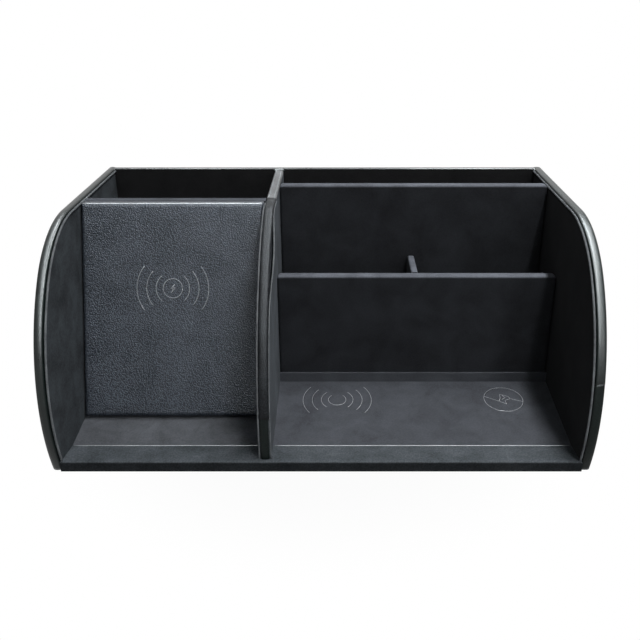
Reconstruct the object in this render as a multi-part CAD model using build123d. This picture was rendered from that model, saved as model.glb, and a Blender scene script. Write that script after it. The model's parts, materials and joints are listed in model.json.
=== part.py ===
from build123d import *
from math import atan2, cos, radians, sin, sqrt, tan
import os

# A desk organizer with three hidden charging coils: leather-wrapped boards, suede-like linings.
# Millimetres. X is to the right, Y to the back, Z up. The origin is on the desk surface,
# under the middle of the body.

# Overall size
overall_width = 342.3
overall_depth = 201.5
overall_height = 149.5

# Feet and base
foot_height = 1.0
foot_radius = 7.0
foot_inset = 17.0
bottom_sheet_thickness = 0.6
base_board_thickness = 2.9

# Side walls: a leather sheet outside, a board, a leather band with rounded corners over its
# edge, and a thin lining inside that stands a little back from the band
wall_board_thickness = 4.9
wall_cover_thickness = 0.8
wall_lining_thickness = 1.1
wall_lining_setback = 1.9
wall_lining_round_share = 0.8
wall_band_thickness = 2.2
wall_belly_share = 0.2727
wall_bow_share = 0.5872
wall_shoulder_share = 0.86
band_round_share = 0.3
band_round_depth_share = 0.9
right_band_joint_height = 64.5
lower_band_setback = 0.25

# Back panel
back_cover_thickness = 0.8
back_board_thickness = 5.6
back_lining_thickness = 1.7
back_band_thickness = 2.2

# Front lip: a leather-covered rail with a ramp that falls back to the floor seam
lip_setback = 5.2
lip_rise = 4.0
lip_rail_thickness = 4.0
lip_cover_thickness = 0.6
lip_edge_radius = 1.5
ramp_run = 21.9
seam_rise = 1.1

# Centre divider
left_bay_width = 125.35
centre_board_thickness = 4.8
centre_lining_thickness = 1.0
centre_band_width = 5.4
centre_band_thickness = 1.6
centre_front_setback = 2.1
centre_top_drop = 1.4
centre_belly_share = 0.1394
centre_bow_share = 0.6315
centre_shoulder_share = 0.22
centre_top_joint_gap = 18.0
centre_foot_joint_height = 36.5
centre_foot_setback = 0.2

# Charging deck, right
deck_run = 71.4
deck_rise = 8.9
deck_board_thickness = 1.4
deck_cover_thickness = 0.6
skirting_height = 7.4
skirting_thickness = 1.2
skirting_edge_radius = 0.4

# Low, tall and cross dividers, each a board in a leather sleeve
divider_thickness = 8.0
divider_sleeve_thickness = 0.8
divider_edge_radius = 2.2
divider_corner_radius = 3.0
divider_end_gap = 0.5
low_divider_rise = 83.4
pocket_depth = 39.5
tall_divider_drop = 0.4
left_pocket_width = 94.7
cross_divider_thickness = 5.0
cross_sleeve_thickness = 0.8
cross_edge_radius = 1.6
cross_rear_radius = 7.0

# Floors and the battens that carry them
floor_board_thickness = 2.0
left_floor_thickness = 2.0
batten_width = 6.0
deck_ledge = 2.0

# Phone backrest, left
panel_lean = 20.0
panel_foot_run = 26.4
panel_foot_gap = 3.0
panel_pad_thickness = 7.0
panel_cover_thickness = 0.8
panel_board_thickness = 6.4
panel_side_gap = 1.0
panel_edge_radius = 2.4
panel_drop = 1.4

# Charging coils and their ferrite plates
phone_coil_radius = 22.0
phone_coil_bore = 10.0
phone_coil_thickness = 1.2
phone_coil_height = 88.9
phone_ferrite_radius = 25.0
phone_ferrite_thickness = 0.8
coil_pocket_clearance = 0.5
coil_pocket_spare = 0.2
deck_coil_radius = 20.0
deck_coil_bore = 10.0
deck_coil_inset = 42.3
deck_coil_rear_gap = 0.5
earbud_coil_radius = 14.0
earbud_coil_bore = 5.0
earbud_coil_inset = 35.25
earbud_coil_run = 50.0
deck_coil_thickness = 0.9
deck_ferrite_margin = 0.5
deck_ferrite_thickness = 0.5

# Circuit board and power inlet at the back
inlet_inset = 52.2
driver_board_width = 64.0
driver_board_depth = 34.0
driver_board_thickness = 1.6
driver_board_gap = 0.3
driver_can_width = 26.0
driver_can_depth = 18.0
driver_can_height = 3.0
driver_can_front_margin = 5.0
socket_width = 9.0
socket_height = 3.3
socket_length = 9.0
socket_wall = 0.35
socket_depth = 6.4
socket_recess = 0.4
socket_clearance = 0.3
tongue_width = 6.2
tongue_thickness = 0.7
tongue_recess = 1.0
bezel_margin = 2.6

# One overrun for every cut, and how near two places must be to count as the same
overrun = 5.0
tolerance = 0.005

# Planes and levels that follow from the sizes
half_width = overall_width / 2
y_front = -overall_depth / 2
y_back = overall_depth / 2
z_foot = foot_height
z_top = overall_height
wall_band_width = wall_cover_thickness + wall_board_thickness
x_board = half_width - wall_band_width
x_lining = x_board - wall_lining_thickness
y_back_board = y_back - back_cover_thickness - back_board_thickness
y_back_lining = y_back_board - back_lining_thickness
z_sheet = z_foot + bottom_sheet_thickness
z_base = z_sheet + base_board_thickness
z_lip = z_base + lip_rise
z_seam = z_base + seam_rise
z_floor = z_base + deck_rise
z_floor_under = z_floor - floor_board_thickness
y_lip = y_front + lip_setback
y_rail_back = y_lip + lip_rail_thickness
y_seam = y_lip + ramp_run
y_skirt = y_seam + deck_run
y_low = y_skirt + skirting_thickness
y_pocket = y_low + divider_thickness
y_tall = y_pocket + pocket_depth
y_slot = y_tall + divider_thickness
ramp_slope = (z_lip - z_seam) / ramp_run
deck_slope = (z_floor - z_seam) / deck_run
deck_angle = atan2(deck_slope, 1)
centre_half = centre_board_thickness / 2 + centre_lining_thickness
x_centre_left = -x_lining + left_bay_width
centre_divider_x = x_centre_left + centre_half
x_centre_right = centre_divider_x + centre_half
cross_divider_x = x_centre_right + left_pocket_width + cross_divider_thickness / 2
inlet_x = x_centre_right + inlet_inset


def prism(points, x_from, x_to):
    """A solid with the given Y-Z outline between two X planes."""
    corners = [(x_from, y, z) for y, z in points]
    face = Face(Wire.make_polygon(corners, close=True))
    return Part() + extrude(face, amount=x_to - x_from, dir=(1, 0, 0))


def block(x_from, x_to, y_from, y_to, z_from, z_to):
    """A box between three pairs of planes."""
    middle = ((x_from + x_to) / 2, (y_from + y_to) / 2, (z_from + z_to) / 2)
    return Pos(*middle) * Box(x_to - x_from, y_to - y_from, z_to - z_from)


def bow_plate(x_from, x_to, bow, inset, y_end, z_end):
    """A plate with a level top and a front that bows down to its foot in two tangent arcs.

    bow holds the front plane, the top level, the level of the belly's foremost line, how
    far behind the front the level top begins, and the shoulder radius as a share of that
    run. The belly radius follows, so that the arcs meet smoothly. inset draws the top and
    the bow inwards.
    """
    bow_front, bow_top, belly_level, bow_run, shoulder_share = bow
    shoulder_radius = bow_run * shoulder_share
    climb = bow_top - belly_level
    chord = bow_run * bow_run + climb * climb
    belly_radius = (chord - 2 * climb * shoulder_radius) / (2 * (bow_run - shoulder_radius))
    belly_y = bow_front + belly_radius
    shoulder_y = bow_front + bow_run
    shoulder_z = bow_top - shoulder_radius
    turn = atan2(shoulder_z - belly_level, belly_y - shoulder_y)
    belly_r = belly_radius - inset
    shoulder_r = shoulder_radius - inset
    drop = belly_level - z_end
    start = -atan2(drop, sqrt(belly_r * belly_r - drop * drop))

    def on_belly(angle):
        return (x_from, belly_y - belly_r * cos(angle), belly_level + belly_r * sin(angle))

    def on_shoulder(angle):
        return (x_from, shoulder_y - shoulder_r * cos(angle), shoulder_z + shoulder_r * sin(angle))

    quarter = radians(90)
    crown = (x_from, shoulder_y, bow_top - inset)
    back_top = (x_from, y_end, bow_top - inset)
    back_foot = (x_from, y_end, z_end)
    belly = ThreePointArc(on_belly(start), on_belly((start + turn) / 2), on_belly(turn))
    shoulder = ThreePointArc(on_belly(turn), on_shoulder((turn + quarter) / 2), crown)
    rim = [belly, shoulder, Line(crown, back_top), Line(back_top, back_foot),
           Line(back_foot, on_belly(start))]
    face = Face(Wire(rim))
    return Part() + extrude(face, amount=x_to - x_from, dir=(1, 0, 0))


def rim_edges(plate, x_plane, y_end, z_end):
    """The edges of a bowed plate along its top and bow, in one X plane."""
    picked = []
    for edge in plate.edges():
        box = edge.bounding_box()
        flat = abs(box.min.X - x_plane) < tolerance and abs(box.max.X - x_plane) < tolerance
        on_back = abs(box.min.Y - y_end) < tolerance
        on_foot = abs(box.max.Z - z_end) < tolerance
        if flat and not on_back and not on_foot:
            picked.append(edge)
    return picked


def bow_band(x_from, x_to, bow, setback, depth, y_end, z_end):
    """A leather band over the edge of a bowed board, with rounded corners."""
    outer = bow_plate(x_from, x_to, bow, setback, y_end, z_end)
    width = x_to - x_from
    radius = min(width * band_round_share, (depth - setback) * band_round_depth_share)
    edges = rim_edges(outer, x_from, y_end, z_end) + rim_edges(outer, x_to, y_end, z_end)
    rounded = fillet(edges, radius)
    core = bow_plate(x_from - overrun, x_to + overrun, bow, depth, y_end + overrun, z_end - overrun)
    return rounded - core


def sleeved_board(x_from, x_to, y_from, y_to, z_from, z_to, corner, edge_radius, skin):
    """A board with rounded upper corners, and the leather sleeve around it, open below."""
    def shape(inset):
        left = x_from + inset
        right = x_to - inset
        top = z_to - inset
        radius = corner - inset
        front = y_from + inset
        back = y_to - inset
        turn = radius * (1 - sqrt(1 / 2))
        rim = [Line((left, front, z_from), (left, front, top - radius)),
               ThreePointArc((left, front, top - radius), (left + turn, front, top - turn),
                             (left + radius, front, top)),
               Line((left + radius, front, top), (right - radius, front, top)),
               ThreePointArc((right - radius, front, top), (right - turn, front, top - turn),
                             (right, front, top - radius)),
               Line((right, front, top - radius), (right, front, z_from)),
               Line((right, front, z_from), (left, front, z_from))]
        face = Face(Wire(rim))
        body = Part() + extrude(face, amount=back - front, dir=(0, 1, 0))
        edges = [e for e in body.edges()
                 if abs(e.bounding_box().size.Y) < tolerance
                 and e.bounding_box().max.Z > z_from + tolerance]
        return fillet(edges, edge_radius - inset)

    board = shape(skin)
    return board, shape(0) - board


def ramp_z(y):
    """Height of the lip's ramp at a distance from front to back."""
    return z_seam + (y_seam - y) * ramp_slope


def deck_z(y):
    """Height of the sloping floor and deck surface."""
    return z_seam + (y - y_seam) * deck_slope


def inclined_board(x_from, x_to, y_end, depth_from, depth_to):
    """A board under the sloping floor surface, cut flat where it lies on the base."""
    upper = depth_from / cos(deck_angle)
    lower = depth_to / cos(deck_angle)
    y_touch = y_seam + (z_base - z_seam + lower) / deck_slope
    points = [(y_seam, z_seam - upper), (y_end, deck_z(y_end) - upper),
              (y_end, deck_z(y_end) - lower)]
    if y_touch > y_seam:
        points += [(y_touch, z_base), (y_seam, z_base)]
    else:
        points += [(y_seam, z_seam - lower)]
    return prism(points, x_from, x_to)


os.makedirs("parts", exist_ok=True)
nodes = {}

# Everything that the pieces standing on the base and the lip must stay clear of
ground_points = [(y_front - overrun, z_foot - overrun), (y_front - overrun, ramp_z(y_front - overrun)),
                 (y_seam, z_seam), (y_seam, z_base), (y_back + overrun, z_base),
                 (y_back + overrun, z_foot - overrun)]
ground = prism(ground_points, -half_width - overrun, half_width + overrun)

# Side walls
wall_height = z_top - z_foot
wall_bow = (y_front, z_top, z_foot + wall_height * wall_belly_share,
            wall_height * wall_bow_share, wall_shoulder_share)
lining_round = wall_lining_thickness * wall_lining_round_share
for side, sign in (("left", -1), ("right", 1)):
    x_out = sign * half_width
    x_cover = sign * (half_width - wall_cover_thickness)
    low_x, high_x = sorted((x_out, x_cover))
    nodes[side + "_wall_cover"] = bow_plate(low_x, high_x, wall_bow, wall_band_thickness, y_back, z_foot)
    low_x, high_x = sorted((x_cover, sign * x_board))
    nodes[side + "_wall_board"] = bow_plate(low_x, high_x, wall_bow, wall_band_thickness, y_back, z_foot)
    low_x, high_x = sorted((sign * x_board, sign * x_lining))
    lining = bow_plate(low_x, high_x, wall_bow, wall_lining_setback, y_back_board, z_base - overrun)
    edges = rim_edges(lining, sign * x_lining, y_back_board, z_base - overrun)
    nodes[side + "_wall_lining"] = fillet(edges, lining_round) - ground

# The left band is one strip. The right band is cut, and its lower strip lies a little deeper.
nodes["left_edge_band"] = bow_band(-half_width, -x_board, wall_bow, 0, wall_band_thickness,
                                   y_back, z_foot)
z_joint = z_foot + right_band_joint_height
above = block(-half_width - overrun, half_width + overrun, y_front - overrun, y_back + overrun,
              z_joint, z_top + overrun)
below = block(-half_width - overrun, half_width + overrun, y_front - overrun, y_back - overrun,
              z_foot - overrun, z_joint)
nodes["right_upper_band"] = bow_band(x_board, half_width, wall_bow, 0, wall_band_thickness,
                                     y_back, z_foot) & above
nodes["right_lower_band"] = bow_band(x_board, half_width, wall_bow, lower_band_setback,
                                     wall_band_thickness, y_back, z_foot) & below

# Base
nodes["bottom_sheet"] = block(-x_board, x_board, y_rail_back, y_back_board, z_foot, z_sheet)
nodes["base_board"] = block(-x_board, x_board, y_rail_back, y_back_board, z_sheet, z_base)
foot_x = half_width - foot_inset
foot_y = y_back - foot_inset
for place, x_sign, y_sign in (("front_left", -1, -1), ("front_right", 1, -1),
                              ("rear_left", -1, 1), ("rear_right", 1, 1)):
    foot = Cylinder(foot_radius, foot_height, align=(Align.CENTER, Align.CENTER, Align.MIN))
    nodes["foot_" + place] = Pos(x_sign * foot_x, y_sign * foot_y, 0) * foot

# Front lip: core and leather cover
skin_rise = lip_cover_thickness / cos(atan2(ramp_slope, 1))
lip_outer = [(y_lip, z_foot), (y_lip, ramp_z(y_lip)), (y_seam, z_seam), (y_seam, z_base),
             (y_rail_back, z_base), (y_rail_back, z_foot)]
core_front = y_lip + lip_cover_thickness
lip_inner = [(core_front, z_foot), (core_front, ramp_z(core_front) - skin_rise),
             (y_seam, z_seam - skin_rise), (y_seam, z_base), (y_rail_back, z_base),
             (y_rail_back, z_foot)]


def lip_body(points, corner, radius):
    """The lip's full-width body with its upper front edge rounded."""
    body = prism(points, -x_board, x_board)
    edges = [e for e in body.edges()
             if abs(e.center().Y - corner[0]) < tolerance
             and abs(e.center().Z - corner[1]) < tolerance]
    return fillet(edges, radius)


lip_core = lip_body(lip_inner, lip_inner[1], lip_edge_radius - lip_cover_thickness)
nodes["front_lip_core"] = lip_core
nodes["front_lip_cover"] = lip_body(lip_outer, lip_outer[1], lip_edge_radius) - lip_core

# Back panel, with the hole for the power inlet low in its middle
y_cover = y_back - back_cover_thickness
z_back_band = z_top - back_band_thickness
z_board_top = z_base + driver_board_thickness
z_socket = z_board_top + socket_height / 2


def slot_bar(width, height, y_from, y_to, z_middle):
    """A bar with round ends along Y at the inlet's place."""
    face = Plane((inlet_x, y_from, z_middle), x_dir=(1, 0, 0), z_dir=(0, -1, 0)) * SlotOverall(width, height)
    return Part() + extrude(face, amount=y_to - y_from, dir=(0, 1, 0))


hole_width = socket_width + 2 * socket_clearance
hole_height = socket_height + 2 * socket_clearance
inlet_hole = slot_bar(hole_width, hole_height, y_back_board - overrun, y_back + overrun, z_socket)
bezel_body = slot_bar(hole_width + bezel_margin, hole_height + bezel_margin, y_cover, y_back, z_socket)
back_board = block(-x_board, x_board, y_back_board, y_cover, z_foot, z_back_band)
nodes["back_board"] = back_board - inlet_hole
nodes["back_cover"] = block(-x_board, x_board, y_cover, y_back, z_foot, z_back_band) - bezel_body
back_band = block(-x_board, x_board, y_back_board, y_back, z_back_band, z_top)
band_edges = [e for e in back_band.edges()
              if e.bounding_box().min.Z > z_top - tolerance
              and e.bounding_box().size.Y < tolerance]
back_round = min((y_back - y_back_board) * band_round_share, back_band_thickness * band_round_depth_share)
nodes["back_edge_band"] = fillet(band_edges, back_round)
nodes["back_lining_left"] = block(-x_lining, x_centre_left, y_back_lining, y_back_board, z_floor, z_top)
nodes["back_lining_right"] = block(x_centre_right, x_lining, y_back_lining, y_back_board, z_floor, z_top)

# Centre divider: board, two linings and a band in three strips. The top strip covers the
# linings' edges too, and the other two cover the board's edge alone.
z_centre = z_top - centre_top_drop
centre_height = z_centre - z_foot
centre_bow_run = centre_height * centre_bow_share
y_centre_front = y_lip + centre_front_setback
centre_bow = (y_centre_front, z_centre, z_foot + centre_height * centre_belly_share,
              centre_bow_run, centre_shoulder_share)
board_half = centre_board_thickness / 2
band_half = centre_band_width / 2
z_buried = z_foot - overrun


def centre_plate(x_from, x_to):
    return bow_plate(x_from, x_to, centre_bow, centre_band_thickness, y_back_board, z_buried) - ground


nodes["centre_divider_board"] = centre_plate(centre_divider_x - board_half, centre_divider_x + board_half)
nodes["centre_lining_left"] = centre_plate(x_centre_left, centre_divider_x - board_half)
nodes["centre_lining_right"] = centre_plate(centre_divider_x + board_half, x_centre_right)
z_foot_joint = z_foot + centre_foot_joint_height
y_top_joint = y_centre_front + centre_bow_run + centre_top_joint_gap
band_left = centre_divider_x - band_half
band_right = centre_divider_x + band_half
top_band = bow_band(x_centre_left, x_centre_right, centre_bow, 0, centre_band_thickness,
                    y_back_board, z_buried) - ground
front_band = bow_band(band_left, band_right, centre_bow, 0, centre_band_thickness,
                      y_back_board, z_buried) - ground
foot_band = bow_band(band_left, band_right, centre_bow, centre_foot_setback, centre_band_thickness,
                     y_back_board, z_buried) - ground
rear_zone = block(x_centre_left - overrun, x_centre_right + overrun, y_top_joint, y_back,
                  z_foot_joint, z_top + overrun)
front_zone = block(band_left - overrun, band_right + overrun, y_front, y_top_joint, z_foot_joint,
                   z_top + overrun)
low_zone = block(band_left - overrun, band_right + overrun, y_front, y_top_joint, z_foot, z_foot_joint)
nodes["centre_top_band"] = top_band & rear_zone
nodes["centre_front_band"] = front_band & front_zone
nodes["centre_foot_band"] = foot_band & low_zone

# Charging deck and skirting, right. The deck's leather ends at the skirting, which stands on the board.
deck_thickness = deck_cover_thickness + deck_board_thickness
cover_rise = deck_cover_thickness / cos(deck_angle)
nodes["deck_cover"] = inclined_board(x_centre_right, x_lining, y_skirt, 0, deck_cover_thickness)
nodes["charging_deck"] = inclined_board(x_centre_right, x_lining, y_low,
                                        deck_cover_thickness, deck_thickness)
skirting = prism([(y_skirt, deck_z(y_skirt) - cover_rise), (y_low, deck_z(y_low) - cover_rise),
                  (y_low, z_floor + skirting_height), (y_skirt, z_floor + skirting_height)],
                 x_centre_right, x_lining)
skirting_edges = [e for e in skirting.edges()
                  if e.center().Y < y_skirt + tolerance
                  and e.center().Z > z_floor + skirting_height - tolerance]
nodes["skirting_strip"] = fillet(skirting_edges, skirting_edge_radius)

# Floors behind the deck and behind the phone backrest
nodes["pocket_floor"] = block(x_centre_right, x_lining, y_low, y_back_board, z_floor_under, z_floor)

# Low, tall and cross dividers
z_low = z_floor + low_divider_rise
x_divider_end = x_lining - divider_end_gap
low_board, low_sleeve = sleeved_board(x_centre_right, x_divider_end, y_low, y_pocket, z_floor, z_low,
                                      divider_corner_radius, divider_edge_radius,
                                      divider_sleeve_thickness)
nodes["low_divider_board"] = low_board
nodes["low_divider_sleeve"] = low_sleeve
tall_board, tall_sleeve = sleeved_board(x_centre_right, x_divider_end, y_tall, y_slot, z_floor,
                                        z_top - tall_divider_drop, divider_corner_radius,
                                        divider_edge_radius, divider_sleeve_thickness)
nodes["tall_divider_board"] = tall_board
nodes["tall_divider_sleeve"] = tall_sleeve


def cross_shape(inset):
    """The cross divider's body, level on top and rounded down at its rear end."""
    top = z_low - inset
    radius = cross_rear_radius - inset
    rear = y_tall - inset
    turn = radius * (1 - sqrt(1 / 2))
    x_left = cross_divider_x - cross_divider_thickness / 2 + inset
    x_right = cross_divider_x + cross_divider_thickness / 2 - inset
    rim = [Line((x_left, y_pocket, z_floor), (x_left, y_pocket, top)),
           Line((x_left, y_pocket, top), (x_left, rear - radius, top)),
           ThreePointArc((x_left, rear - radius, top), (x_left, rear - turn, top - turn),
                         (x_left, rear, top - radius)),
           Line((x_left, rear, top - radius), (x_left, rear, z_floor)),
           Line((x_left, rear, z_floor), (x_left, y_pocket, z_floor))]
    body = Part() + extrude(Face(Wire(rim)), amount=x_right - x_left, dir=(1, 0, 0))
    edges = [e for e in body.edges()
             if e.bounding_box().size.X < tolerance
             and e.bounding_box().max.Z > z_floor + tolerance
             and e.bounding_box().max.Y > y_pocket + tolerance]
    return fillet(edges, cross_edge_radius - inset)


cross_board = cross_shape(cross_sleeve_thickness)
nodes["cross_divider_board"] = cross_board
nodes["cross_divider_sleeve"] = cross_shape(0) - cross_board

# Phone backrest: pad core, leather cover and rear board, all leaning back
lean_sine = sin(radians(panel_lean))
lean_cosine = cos(radians(panel_lean))
lean_tangent = lean_sine / lean_cosine
y_panel = y_seam + panel_foot_run
z_panel = deck_z(y_panel) + panel_foot_gap
z_panel_top = z_top - panel_drop


def lean_y(depth, z):
    """Where a plane behind the backrest's face lies at a height."""
    return y_panel + (z - z_panel) * lean_tangent + depth / lean_cosine


def lean_foot(depth, gap):
    """The point where that plane comes down to a gap over the sloping floor."""
    rise = z_seam + gap + deck_slope * (lean_y(depth, 0) - y_seam)
    z = rise / (1 - deck_slope * lean_tangent)
    return (lean_y(depth, z), z)


def lean_plate(x_from, x_to, depth_from, depth_to, gap, z_upper):
    """A leaning plate between two depths, cut level on top and along the floor below."""
    points = [lean_foot(depth_from, gap), (lean_y(depth_from, z_upper), z_upper),
              (lean_y(depth_to, z_upper), z_upper), lean_foot(depth_to, gap)]
    return prism(points, x_from, x_to)


x_pad_left = -x_lining + panel_side_gap
x_pad_right = x_centre_left - panel_side_gap
pad_back = panel_pad_thickness
board_back = pad_back + panel_board_thickness
skin = panel_cover_thickness
pad_outer = lean_plate(x_pad_left, x_pad_right, 0, pad_back, panel_foot_gap, z_panel_top)
face_edges = [e for e in pad_outer.edges()
              if abs(e.center().Y - lean_y(0, e.center().Z)) < tolerance]
pad_outer = fillet(face_edges, panel_edge_radius)
pad_core = lean_plate(x_pad_left + skin, x_pad_right - skin, skin, pad_back, panel_foot_gap + skin,
                      z_panel_top - skin)
core_edges = [e for e in pad_core.edges()
              if abs(e.center().Y - lean_y(skin, e.center().Z)) < tolerance]
pad_core = fillet(core_edges, panel_edge_radius - skin)
nodes["phone_pad_cover"] = pad_outer - pad_core

# The coil and its ferrite lie in a round pocket in the back of the pad core
pad_middle_x = (x_pad_left + x_pad_right) / 2
coil_z = z_panel + phone_coil_height * lean_cosine
pocket_depth_needed = phone_coil_thickness + phone_ferrite_thickness + coil_pocket_spare
lean_back = Vector(0, lean_cosine, -lean_sine)


def lean_disc(radius, bore, depth_from, thickness):
    """A disc or ring in the backrest, square to its face, at the coil's place."""
    origin = (pad_middle_x, y_panel + phone_coil_height * lean_sine + depth_from * lean_cosine,
              coil_z - depth_from * lean_sine)
    disc = Cylinder(radius, thickness, align=(Align.CENTER, Align.CENTER, Align.MIN))
    if bore:
        disc = disc - Cylinder(bore, thickness, align=(Align.CENTER, Align.CENTER, Align.MIN))
    return Plane(origin, x_dir=(1, 0, 0), z_dir=lean_back) * disc


coil_front = pad_back - pocket_depth_needed
nodes["phone_pad_core"] = pad_core - lean_disc(phone_ferrite_radius + coil_pocket_clearance, 0,
                                               coil_front, pocket_depth_needed + overrun)
nodes["backrest_coil"] = lean_disc(phone_coil_radius, phone_coil_bore, coil_front, phone_coil_thickness)
nodes["backrest_ferrite"] = lean_disc(phone_ferrite_radius, 0, coil_front + phone_coil_thickness,
                                      phone_ferrite_thickness)
nodes["backrest_board"] = lean_plate(-x_lining, x_centre_left, pad_back, board_back, 0, z_panel_top)

# Left floor in front of and under the backrest, and the pen floor behind it
y_panel_end, z_panel_end = lean_foot(board_back, 0)
nodes["left_floor"] = inclined_board(-x_lining, x_centre_left, y_panel_end, 0, left_floor_thickness)
nodes["pen_floor"] = prism([(lean_y(board_back, z_floor), z_floor),
                            (lean_y(board_back, z_floor_under), z_floor_under),
                            (y_back_board, z_floor_under), (y_back_board, z_floor)],
                           -x_lining, x_centre_left)

# Battens that carry the floors
left_under = left_floor_thickness / cos(deck_angle)
deck_under = deck_thickness / cos(deck_angle)
y_batten = y_panel_end - batten_width
nodes["backrest_batten"] = prism([(y_batten, z_base), (y_batten, deck_z(y_batten) - left_under),
                                  (y_panel_end, z_panel_end - left_under), (y_panel_end, z_panel_end),
                                  (lean_y(board_back, z_floor_under), z_floor_under),
                                  (y_panel_end + batten_width, z_floor_under),
                                  (y_panel_end + batten_width, z_base)], -x_lining, x_centre_left)
y_ledge = y_low - deck_ledge
nodes["deck_batten"] = prism([(y_ledge, z_base), (y_ledge, deck_z(y_ledge) - deck_under),
                              (y_low, deck_z(y_low) - deck_under), (y_low, z_floor_under),
                              (y_low + batten_width, z_floor_under), (y_low + batten_width, z_base)],
                             x_centre_right, x_lining)
driver_left = inlet_x - driver_board_width / 2
driver_right = inlet_x + driver_board_width / 2
y_rear_batten = y_back_board - batten_width
nodes["rear_batten_left"] = block(-x_lining, x_centre_left, y_rear_batten, y_back_board,
                                  z_base, z_floor_under)
nodes["rear_batten_right"] = block(driver_right + batten_width, x_lining, y_rear_batten, y_back_board,
                                   z_base, z_floor_under)

# Coils and ferrite plates under the charging deck
deck_coil_x = x_centre_right + deck_coil_inset
deck_coil_y = y_ledge - deck_coil_rear_gap - deck_coil_radius - deck_ferrite_margin
earbud_coil_x = x_lining - earbud_coil_inset
earbud_coil_y = y_seam + earbud_coil_run
for name, radius, bore, x, y in (("deck", deck_coil_radius, deck_coil_bore, deck_coil_x, deck_coil_y),
                                 ("earbud", earbud_coil_radius, earbud_coil_bore, earbud_coil_x,
                                  earbud_coil_y)):
    origin = (x, y, deck_z(y) - deck_under)
    down = Vector(0, sin(deck_angle), -cos(deck_angle))
    under = Plane(origin, x_dir=(1, 0, 0), z_dir=down)
    low_end = (Align.CENTER, Align.CENTER, Align.MIN)
    coil = Cylinder(radius, deck_coil_thickness, align=low_end)
    coil = coil - Cylinder(bore, deck_coil_thickness, align=low_end)
    ferrite = Cylinder(radius + deck_ferrite_margin, deck_ferrite_thickness, align=low_end)
    nodes[name + "_coil"] = under * coil
    nodes[name + "_ferrite"] = under * Pos(0, 0, deck_coil_thickness) * ferrite

# Circuit board, its shielding can, the power socket and the bezel around it
y_driver_end = y_back_board - driver_board_gap
y_driver = y_driver_end - driver_board_depth
nodes["driver_board"] = block(driver_left, driver_right, y_driver, y_driver_end, z_base, z_board_top)
y_can = y_driver + driver_can_front_margin
nodes["driver_can"] = block(inlet_x - driver_can_width / 2, inlet_x + driver_can_width / 2, y_can,
                            y_can + driver_can_depth, z_board_top, z_board_top + driver_can_height)
y_socket_end = y_back - socket_recess
y_socket = y_socket_end - socket_length
socket = slot_bar(socket_width, socket_height, y_socket, y_socket_end, z_socket)
socket_mouth = slot_bar(socket_width - 2 * socket_wall, socket_height - 2 * socket_wall,
                        y_socket_end - socket_depth, y_back + overrun, z_socket)
tongue = block(inlet_x - tongue_width / 2, inlet_x + tongue_width / 2, y_socket_end - socket_depth,
               y_socket_end - tongue_recess, z_socket - tongue_thickness / 2,
               z_socket + tongue_thickness / 2)
nodes["inlet_socket"] = socket - socket_mouth
nodes["inlet_tongue"] = tongue
nodes["inlet_bezel"] = bezel_body - inlet_hole

for name, shape in nodes.items():
    export_step(shape, "parts/" + name + ".step")
    print(name, len(shape.solids()), round(shape.volume, 1))
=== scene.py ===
# %% [markdown]
# # A leather-wrapped charging organizer
# The real object is a set of fibreboard walls, wrapped in dark artificial leather or lined with
# artificial suede, with three charging coils hidden under the leather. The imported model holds
# every board, band and lining in its place. This lesson loads it, gives each finish its own
# procedural material, and adds what a solid model leaves out: the soft charging pad, the padded
# bands, the rolled hems, the pressed marks and the seams.

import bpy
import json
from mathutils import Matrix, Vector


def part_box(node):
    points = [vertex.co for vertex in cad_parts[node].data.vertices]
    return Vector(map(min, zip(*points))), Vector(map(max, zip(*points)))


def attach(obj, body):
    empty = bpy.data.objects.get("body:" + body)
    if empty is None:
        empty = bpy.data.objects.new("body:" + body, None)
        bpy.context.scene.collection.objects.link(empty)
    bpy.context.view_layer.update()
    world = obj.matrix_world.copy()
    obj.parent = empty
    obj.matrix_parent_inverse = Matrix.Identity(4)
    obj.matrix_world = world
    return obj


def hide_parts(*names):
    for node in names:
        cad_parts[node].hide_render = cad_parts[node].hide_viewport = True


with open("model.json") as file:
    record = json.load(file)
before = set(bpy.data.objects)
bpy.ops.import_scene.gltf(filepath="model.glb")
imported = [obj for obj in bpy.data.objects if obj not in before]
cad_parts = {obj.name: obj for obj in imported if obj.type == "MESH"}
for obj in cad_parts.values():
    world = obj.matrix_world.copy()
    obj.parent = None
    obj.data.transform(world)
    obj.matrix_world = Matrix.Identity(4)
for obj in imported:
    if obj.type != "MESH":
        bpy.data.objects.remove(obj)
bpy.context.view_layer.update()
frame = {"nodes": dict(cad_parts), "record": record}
nodes = frame["nodes"]


# %% [markdown]
# ## Tools and the unit
# The bmesh tools build a mesh point by point, and mathutils brings vectors. Blender and the frame
# count in metres, but a maker thinks in millimetres, so lengths are written as a number times mm.

# %% Tools and the unit
import json
import math

import bmesh
import bpy
from mathutils import Vector

mm = 0.001
scene = bpy.context.scene


# %% [markdown]
# ## The camera first
# The photograph looks down at the organizer by about 23.5 degrees, from half a metre in front and a
# little right of its middle. The place and the lens were solved from the straight edges of the
# boards, so that the model covers the photograph. A small shift of the picture stands for the
# photograph's crop. Turning the camera would bend the uprights instead.

# %% Camera
picture_size = 640
focal_pixels = 768.436
axis_x, axis_y = 338.75, 300.0
eye = (0.011154, -0.4998, 0.296077)
look_down = 23.546
camera_data = bpy.data.cameras.new("camera")
camera_data.sensor_width = 36.0
camera_data.lens = focal_pixels / picture_size * camera_data.sensor_width
camera_data.shift_x = (picture_size / 2 - axis_x) / picture_size
camera_data.shift_y = (axis_y - picture_size / 2) / picture_size
camera = bpy.data.objects.new("camera", camera_data)
camera.location = eye
camera.rotation_euler = (math.radians(90 - look_down), 0, 0)
scene.collection.objects.link(camera)
scene.camera = camera
print("lens:", round(camera_data.lens, 2), "mm, shift:", camera_data.shift_x, camera_data.shift_y)


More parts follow.
